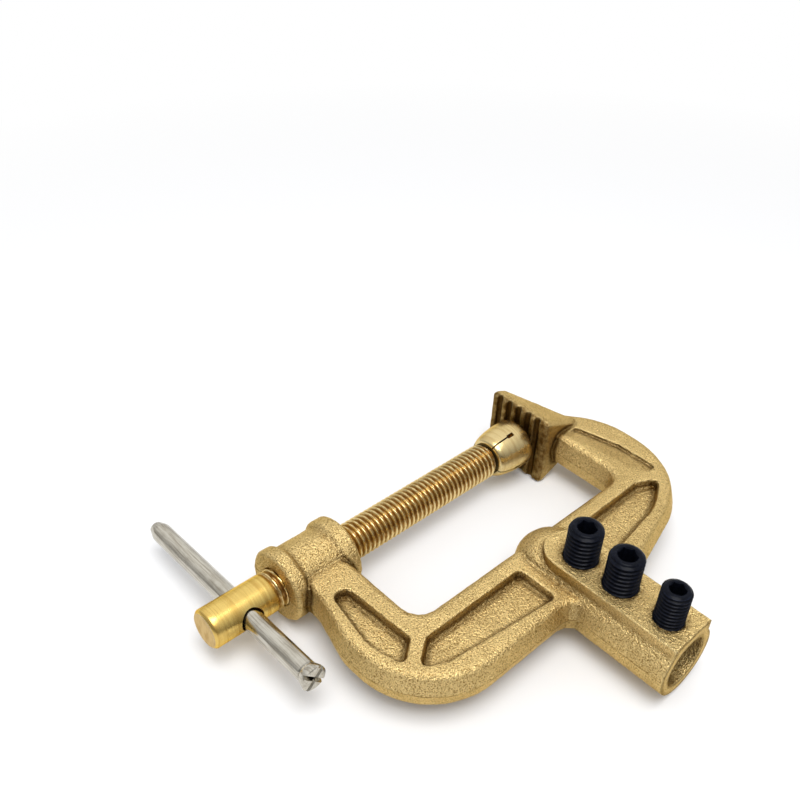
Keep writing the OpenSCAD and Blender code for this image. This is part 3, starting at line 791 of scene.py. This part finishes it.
def screw_rows(plain, thread_end, pitch):
    """The clamp screw's rows of (station, radius), from its sawn end to its ball."""
    rows = [(SCREW_LOW.x + x * MM, r * MM) for x, r in HEAD_BEVEL]
    rows += evenly(rows[-1][0], plain, 10, rows[-1][1])
    count = int((thread_end - plain) / pitch * THREAD_STEPS)
    rows += evenly(plain, thread_end, count, THREAD_RADIUS)
    rows += [(thread_end + x * MM, r * MM) for x, r in THREAD_FOOT]
    centre = SCREW_HIGH.x - BALL_RADIUS
    neck = math.pi - math.asin(NECK_RADIUS / BALL_RADIUS)
    for k in range(BALL_ROWS):
        angle = neck - neck * k / (BALL_ROWS - 0.5)
        rows.append((centre + BALL_RADIUS * math.cos(angle), BALL_RADIUS * math.sin(angle)))
    return rows


class CLAMP_OT_clamp_screw(bpy.types.Operator):
    """Clamp screw with its plain head, cross hole, thread, neck and ball"""

    bl_idname = "clamp.clamp_screw"
    bl_label = "Clamp screw"

    def execute(self, context):
        settings = context.scene.clamp_thread
        finish = context.scene.clamp_finish
        thread_end = CAP_LOW.x - THREAD_GAP
        plain = thread_end - settings.length - THREAD_LEAD

        def radius(station, angle, r):
            if station <= plain or station > thread_end:
                return r
            depth = settings.depth * min(max((station - plain) / THREAD_RUNOUT, 0.0), 1.0)
            turned = thread_radius(station, angle, settings.pitch, THREAD_RADIUS, depth)
            return min(turned, THREAD_BEVEL + (thread_end - station) * BEVEL_SLOPE)

        bm = bmesh.new()
        rows = screw_rows(plain, thread_end, settings.pitch)
        revolve(bm, rows, along_screw, segments=72, radius=radius)
        centre = Vector(((BAR_LOW.x + BAR_HIGH.x) / 2, REACH, 0))
        half = bar_axis() * CROSS_HOLE_HALF
        hole = rod(centre - half, centre + half, CROSS_HOLE)
        mesh = cut(mesh_from("clamp_screw", bm), [hole], sharp=40)
        new_piece("screw", mesh, "screw", "clamp_screw", [
            once(turned_brass, "Turned head", finish.turned,
                 stretch=(1400.0, 45.0, 45.0), marks=0.75, roughness=0.2),
            once(turned_brass, "Threaded brass", finish.thread,
                 stretch=(300.0, 300.0, 300.0), marks=0.5, roughness=0.16),
            # painted shade: the sawn end face greyer and darker than the turned head, with a rougher
            # finish
            once(turned_brass, "Sawn end", tint(finish.turned, 0.76, 0.84, 1.7),
                 stretch=(200.0, 700.0, 200.0), marks=0.6, roughness=0.34)])
        for polygon in mesh.polygons:
            threaded = polygon.center.x > plain + THREAD_TINT_FROM
            sawn = polygon.center.x < SCREW_LOW.x + SAWN_DEPTH
            polygon.material_index = 1 if threaded else 2 if sawn else 0
        return {"FINISHED"}


def bar_points():
    """The vertices of the tommy bar's CAD node."""
    return [v.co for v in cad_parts["tommy_bar"].data.vertices]


def bar_axis():
    """Direction of the tommy bar, from its head to its far end."""
    far = [p for p in bar_points() if p.y > BAR_HIGH.y - 1 * MM]
    near = [p for p in bar_points() if p.y < BAR_LOW.y + 1 * MM]
    ends = [sum(points, Vector()) / len(points) for points in (near, far)]
    return (ends[1] - ends[0]).normalized()


def saw_cut(start, length, half, out, widest):
    """A cutter through the cap's wall, from inside the hollow to past the outside."""
    side = out.cross(Vector((1, 0, 0)))
    return hull("saw_cut", [Vector((x, REACH, 0)) + out * r + side * s
                            for x in (start - 1 * MM, start + length + 1 * MM)
                            for r in (2 * MM, widest + 2 * MM)
                            for s in (-half, half)])


class CLAMP_OT_swivel_cap(bpy.types.Operator):
    """Swivel cap, slotted into petals and crimped over the screw's ball"""

    bl_idname = "clamp.swivel_cap"
    bl_label = "Swivel cap"

    def execute(self, context):
        finish = context.scene.clamp_finish
        rear, front = CAP_LOW.x, CAP_HIGH.x
        widest = (CAP_HIGH.z - CAP_LOW.z) / 2
        swell = widest - CAP_REAR
        rows = [(front - x * MM, widest - r * MM) for x, r in CAP_FRONT]
        rows += [(rear + x * (front - rear), CAP_REAR + r * swell) for x, r in CAP_SWELL]
        rows += [(rear + x * MM, r * MM) for x, r in CAP_LIP]
        centre = SCREW_HIGH.x - BALL_RADIUS
        for degrees in range(135, 14, -12):
            angle = math.radians(degrees)
            rows.append((centre + CAP_HOLLOW * math.cos(angle), CAP_HOLLOW * math.sin(angle)))
        rows.append((centre + CAP_HOLLOW * 0.98, 0.3 * MM))
        bm = bmesh.new()
        revolve(bm, rows, along_screw)
        cutters = []
        for k in range(SAW_CUTS):
            angle = math.radians(SAW_CUT_FROM + 360 / SAW_CUTS * k)
            out = Vector((0, math.cos(angle), math.sin(angle)))
            cutters.append(saw_cut(rear, SAW_CUT_LENGTH, SAW_CUT_HALF, out, widest))
            cutters.append(saw_cut(rear + CUT_END_FROM, CUT_END_LENGTH, CUT_END_HALF, out, widest))
        mesh = cut(mesh_from("swivel_cap", bm), cutters, sharp=35)
        new_piece("cap", mesh, "cap", "swivel_cap", [
            once(turned_brass, "Cap brass", shade(finish.thread, 0.86),
                 stretch=(900.0, 60.0, 60.0), marks=0.6, roughness=0.2),
            # painted shade: the cap's hollow and rear lip in a near-black copy of its brass
            once(turned_brass, "Hollow", shade(finish.thread, 0.16),
                 stretch=(300.0, 300.0, 300.0), marks=0.5, roughness=0.5)])
        # inward faces and the rear lip take the painted shade
        for polygon in mesh.polygons:
            away = Vector((0, polygon.center.y - REACH, polygon.center.z))
            inward = away.dot(polygon.normal) < -0.2 * away.length
            polygon.material_index = int(inward or polygon.center.x < rear + LIP_DEPTH)
        return {"FINISHED"}


def stake(end, axis, across):
    """A wedge across the bar's end, as the stake's chisel leaves it."""
    wide = axis.cross(across)
    return hull("stake", [end + across * s + wide * (width * MM) + axis * (depth * MM)
                          for s in (-STAKE_HALF, STAKE_HALF)
                          for width, depth in STAKE_WEDGE])


class CLAMP_OT_tommy_bar(bpy.types.Operator):
    """Tommy bar with a staked head at one end and a taper at the other"""

    bl_idname = "clamp.tommy_bar"
    bl_label = "Tommy bar"

    def execute(self, context):
        axis = bar_axis()
        middle = Vector(((BAR_LOW.x + BAR_HIGH.x) / 2, REACH, 0))
        stations = [(p - middle).dot(axis) for p in bar_points()]
        near, far = min(stations), max(stations)
        side = Vector((1, 0, 0))
        other = axis.cross(side)
        rows = [(near + x * MM, r * MM) for x, r in BAR_HEAD]
        rows += evenly(rows[-1][0], far - BAR_TAPER_LENGTH, 24, BAR_RADIUS)
        rows += [(far - x * MM, r * MM) for x, r in BAR_TAPER]

        def place(station, y, z):
            return middle + axis * station + side * y + other * z

        def dented(station, angle, radius):
            where = Vector((station * 200, math.cos(angle) * 1.5, math.sin(angle) * 1.5))
            swaged = max(0.0, 1 - abs(station - near - STAKED_AT) / STAKED_SPAN)
            squeeze = 1 - STAKE_SQUEEZE * swaged * (1 + math.cos(4 * angle)) / 2
            bump = 1 + DENTS * noise.noise(where) * (1 + 3 * swaged)
            return min(radius * squeeze * bump, radius + 0.02 * MM)

        bm = bmesh.new()
        revolve(bm, rows, place, segments=64, radius=dented)
        stakes = [stake(middle + axis * near, axis, side * math.cos(a) + other * math.sin(a))
                  for a in (math.radians(45), math.radians(135))]
        mesh = cut(mesh_from("tommy_bar", bm), stakes, sharp=40)
        new_piece("bar", mesh, "bar", "tommy_bar",
                  [once(plated_steel, "Nickel plating", context.scene.clamp_finish.plating)])
        return {"FINISHED"}


class CLAMP_OT_set_screws(bpy.types.Operator):
    """The three set screws, with their threads, cup points and hex sockets"""

    bl_idname = "clamp.set_screws"
    bl_label = "Set screws"

    def execute(self, context):
        settings = context.scene.clamp_thread
        oxide = context.scene.clamp_finish.oxide
        for name, body in SET_SCREWS.items():
            node = "set_screw_" + name
            pitch = settings.small_set_pitch if name == "outer" else settings.set_pitch
            mesh = set_screw(*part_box(node), pitch)
            mesh.name = node
            new_piece("grub_" + name, mesh, body, node,
                      [once(black_oxide, "Black oxide", oxide)])
        return {"FINISHED"}


def set_screw(low, high, pitch):
    """A set screw in its CAD node's box: chamfered top with a hex socket, thread, cup point."""
    width = high.x - low.x
    major = width / 2 - SET_PLAY
    depth = pitch * SET_THREAD_DEPTH
    root = major - depth
    top, foot = high.z, low.z
    start = foot + CUP_HEIGHT * MM
    stop = top - CROWN_HEIGHT * MM
    steps = int((top - foot - (CUP_HEIGHT + CROWN_HEIGHT) * MM) / pitch * SET_STEPS)
    rows = [(foot + z * MM, r * MM) for z, r in CUP_POINT]
    rows.append((start, root))
    rows += evenly(start, stop, steps, major)
    rows += [(top - z * MM, root - r * MM) for z, r in CROWN]

    def place(station, u, v):
        return Vector(((low.x + high.x) / 2 + u, (low.y + high.y) / 2 + v, station))

    def radius(station, angle, r):
        if station <= start or station > stop:
            return r
        turned = thread_radius(station, angle, pitch, major, depth)
        lead = root + station - start
        crown = root - CROWN_BEVEL + (top - station) * BEVEL_SLOPE
        return min(turned, lead, crown)

    bm = bmesh.new()
    revolve(bm, rows, place, segments=64, radius=radius)
    key = width / 4
    corner = key * 2 / math.sqrt(3)
    bottom = top - width / 2
    rows = [(bottom - 0.25 * key, 0.1 * MM), (bottom, corner), (top + 1 * MM, corner)]
    hexagon = bmesh.new()
    revolve(hexagon, rows, place, segments=6)
    rows = [(top - 0.9 * MM, 0.5 * MM), (top - 0.55 * MM, corner - 0.45 * MM),
            (top + 0.5 * MM, corner + 0.5 * MM)]
    lead_in = bmesh.new()
    revolve(lead_in, rows, place, segments=48)
    cutters = [mesh_from("key", hexagon), mesh_from("lead_in", lead_in)]
    return cut(mesh_from("set_screw", bm), cutters, sharp=35)


# Stage


def softbox(settings):
    """The one lamp, square and soft, aimed at the middle of the clamp."""
    lamp = bpy.data.lights.new("softbox", "AREA")
    lamp.shape = "SQUARE"
    lamp.size = settings.softbox_size
    lamp.energy = settings.softbox_power
    obj = linked("softbox", lamp)
    obj.location = settings.softbox
    aim = Vector(SOFTBOX_AIM) - Vector(settings.softbox)
    obj.rotation_euler = aim.to_track_quat("-Z", "Y").to_euler()


def studio_world():
    """White for the camera, graded for reflections, and softer for the light that it sheds."""
    world = bpy.data.worlds.new("Studio")
    bpy.context.scene.world = world
    world.use_nodes = True
    tree = world.node_tree
    background = tree.nodes["Background"]
    path = add(tree, "ShaderNodeLightPath").outputs
    seen = maths(tree, "MAXIMUM", path["Is Camera Ray"], path["Is Transmission Ray"])
    direction = parts_of(tree, add(tree, "ShaderNodeTexCoord").outputs["Generated"])
    level = times(tree, maths(tree, "ADD", direction["X"], direction["Y"]), 0.25)
    level = maths(tree, "ADD", level, times(tree, direction["Z"], 0.75))
    mirrored = spread(tree, level, -0.3, 0.7, 0.06, 1.1)
    glossy = times(tree, path["Is Glossy Ray"], mirrored)
    rest = maths(tree, "SUBTRACT", 1.0, maths(tree, "MAXIMUM", seen, path["Is Glossy Ray"]))
    strength = maths(tree, "ADD", maths(tree, "ADD", seen, glossy), times(tree, rest, 0.72))
    background.inputs["Color"].default_value = (1, 1, 1, 1)
    tree.links.new(strength, background.inputs["Strength"])


def floor(height):
    """A pale floor that keeps the clamp's shadow and turns white away from it."""
    bm = bmesh.new()
    bmesh.ops.create_grid(bm, x_segments=1, y_segments=1, size=3)
    for vertex in bm.verts:
        vertex.co.z = height
    obj = linked("floor", mesh_from("floor", bm))
    mat, tree, shader = material("Pale floor")
    path = add(tree, "ShaderNodeLightPath").outputs
    mirrored = maths(tree, "MAXIMUM", path["Is Glossy Ray"], path["Is Transmission Ray"])
    seen = maths(tree, "MAXIMUM", path["Is Camera Ray"], mirrored)
    away = add(tree, "ShaderNodeVectorMath", {0: place_on(tree)}, operation="LENGTH").outputs["Value"]
    paper = add(tree, "ShaderNodeEmission", {"Color": (1, 1, 1, 1), "Strength": 1.0})
    mixed = add(tree, "ShaderNodeMixShader", {
        0: times(tree, seen, spread(tree, away, 0.25, 0.6)), 1: shader.outputs[0], 2: paper.outputs[0]})
    tree.links.new(mixed.outputs[0], tree.nodes["Material Output"].inputs["Surface"])
    shader.inputs["Base Color"].default_value = (0.88, 0.885, 0.9, 1)
    shader.inputs["Roughness"].default_value = 0.6
    shader.inputs["Specular IOR Level"].default_value = 0.15
    obj.data.materials.append(mat)


def camera(settings):
    """The camera at the photograph's viewing angle."""
    data = bpy.data.cameras.new("camera")
    data.sensor_width = SENSOR
    data.lens = settings.lens
    data.clip_start = 0.01
    obj = linked("camera", data)
    a, e = settings.azimuth, settings.elevation
    back = Vector((math.sin(a) * math.cos(e), -math.cos(a) * math.cos(e), math.sin(e)))
    right = (-back).cross(Vector((0, 0, 1))).normalized()
    turn = Matrix.Rotation(-settings.roll, 3, back)
    up = turn @ back.cross(right)
    right = turn @ right
    rotation = Matrix((right, up, back)).transposed()
    obj.matrix_world = Matrix.Translation(Vector(settings.camera)) @ rotation.to_4x4()
    bpy.context.scene.camera = obj


class CLAMP_OT_stage(bpy.types.Operator):
    """Camera, softbox, white world and pale floor"""

    bl_idname = "clamp.stage"
    bl_label = "Stage"

    def execute(self, context):
        settings = context.scene.clamp_stage
        camera(settings)
        studio_world()
        floor(settings.floor_z)
        softbox(settings)
        context.scene.view_settings.view_transform = "Standard"
        return {"FINISHED"}


class CLAMP_PT_pieces(bpy.types.Panel):
    """Lists the steps that build the clamp, and their settings"""

    bl_idname = "CLAMP_PT_pieces"
    bl_label = "Grounding clamp"
    bl_space_type = "VIEW_3D"
    bl_region_type = "UI"
    bl_category = "Clamp"

    def draw(self, context):
        for operator in OPERATORS:
            self.layout.operator(operator.bl_idname)
        for name, kind in SETTINGS.items():
            for setting in kind.__annotations__:
                self.layout.prop(getattr(context.scene, name), setting)


SETTINGS = {
    "clamp_casting": CastingSettings,
    "clamp_thread": ThreadSettings,
    "clamp_finish": FinishSettings,
    "clamp_stage": StageSettings,
}
OPERATORS = (
    CLAMP_OT_frame_casting,
    CLAMP_OT_clamp_screw,
    CLAMP_OT_swivel_cap,
    CLAMP_OT_tommy_bar,
    CLAMP_OT_set_screws,
    CLAMP_OT_stage,
)


def register():
    """Adds the settings, the operators and the panel."""
    for name, settings in SETTINGS.items():
        bpy.utils.register_class(settings)
        setattr(bpy.types.Scene, name, bpy.props.PointerProperty(type=settings))
    for operator in OPERATORS:
        bpy.utils.register_class(operator)
    bpy.utils.register_class(CLAMP_PT_pieces)


def unregister():
    """Takes away what register adds."""
    bpy.utils.unregister_class(CLAMP_PT_pieces)
    for operator in reversed(OPERATORS):
        bpy.utils.unregister_class(operator)
    for name, settings in SETTINGS.items():
        delattr(bpy.types.Scene, name)
        bpy.utils.unregister_class(settings)


def main():
    register()
    bpy.ops.clamp.frame_casting()
    bpy.ops.clamp.clamp_screw()
    bpy.ops.clamp.swivel_cap()
    bpy.ops.clamp.tommy_bar()
    bpy.ops.clamp.set_screws()
    bpy.ops.clamp.stage()
    bpy.context.view_layer.update()


if __name__ == "__main__":
    main()
